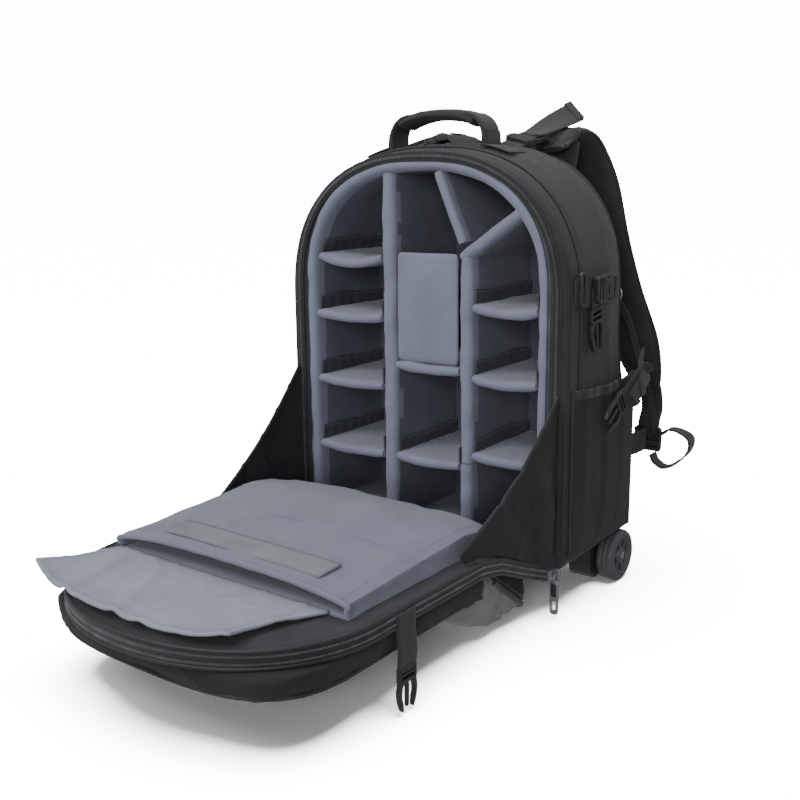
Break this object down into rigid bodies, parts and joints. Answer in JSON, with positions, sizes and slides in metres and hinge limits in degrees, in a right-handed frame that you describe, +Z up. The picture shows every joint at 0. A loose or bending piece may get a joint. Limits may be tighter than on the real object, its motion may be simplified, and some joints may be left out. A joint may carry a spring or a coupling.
{
  "type": "rolling camera backpack, open",
  "caption": "Rolling camera backpack standing with its front door folded down, showing a padded insert with dividers, a laptop sleeve, side pockets and wheels.",
  "frame": {"origin": "middle of the front foot's flat underside, below the front edge of the case", "axes": "+X across the bag, towards its side on the right seen from the front, -Y out of the open front, +Z up"},
  "size_m": [0.4098, 0.6019, 0.4871],
  "materials": {
    "nylon": "matt black woven nylon",
    "insert": "brushed blue-grey loop nylon over foam",
    "flap": "light grey lining nylon",
    "coated": "coated grey nylon, slightly shiny",
    "webbing": "black ribbed webbing",
    "plastic": "black moulded acetal",
    "rubber": "dark grey wheel rubber",
    "metal": "gunmetal zipper slider"
  },
  "bodies": {
    "root": {"case_shell": "nylon", "padded_insert": "insert", "divider_left": "insert", "divider_right": "insert", "divider_right_lower": "insert", "diagonal_divider_high": "insert", "diagonal_divider_low": "insert", "shelf_left_1": "insert", "shelf_left_2": "insert", "shelf_left_3": "insert", "shelf_left_4": "insert", "shelf_middle_1": "insert", "shelf_middle_2": "insert", "shelf_right_1": "insert", "shelf_right_2": "insert", "shelf_right_3": "insert", "middle_pad": "insert", "door_panel": "nylon", "door_pocket": "nylon", "kick_panel": "coated", "laptop_sleeve": "insert", "sleeve_flap": "flap", "gusset_left": "nylon", "gusset_right": "nylon", "side_pocket_left": "nylon", "side_pocket_right": "nylon", "carry_handle": "webbing", "top_buckle_left": "plastic", "top_buckle_right": "plastic", "buckle_tail": "webbing", "back_panel": "nylon", "shoulder_strap_left": "nylon", "shoulder_strap_right": "nylon", "strap_webbing_left": "webbing", "strap_webbing_right": "webbing", "strap_adjuster_left": "plastic", "strap_adjuster_right": "plastic", "webbing_loop_left": "webbing", "webbing_loop_right": "webbing", "strap_anchor_left": "webbing", "strap_anchor_right": "webbing", "side_strap_left": "webbing", "side_strap_right": "webbing", "ladder_lock_left": "plastic", "ladder_lock_right": "plastic", "side_buckle_left": "plastic", "side_buckle_right": "plastic", "hanging_clip_left": "plastic", "hanging_clip_right": "plastic", "door_strap_left": "webbing", "door_strap_right": "webbing", "door_buckle_left": "plastic", "door_buckle_right": "plastic", "wheel_housing_left": "plastic", "wheel_housing_right": "plastic", "front_foot": "plastic", "zipper_pull": "metal"},
    "wheel_body_left": {"wheel_left": "rubber"},
    "wheel_body_right": {"wheel_right": "rubber"}
  },
  "joints": [
    {"name": "wheel_left_spin", "type": "hinge", "parent": "root", "child": "wheel_body_left", "pos_m": [-0.1611, 0.1207, 0.0265], "axis": [1, 0, 0], "continuous": true},
    {"name": "wheel_right_spin", "type": "hinge", "parent": "root", "child": "wheel_body_right", "pos_m": [0.1611, 0.1207, 0.0265], "axis": [1, 0, 0], "continuous": true}
  ]
}
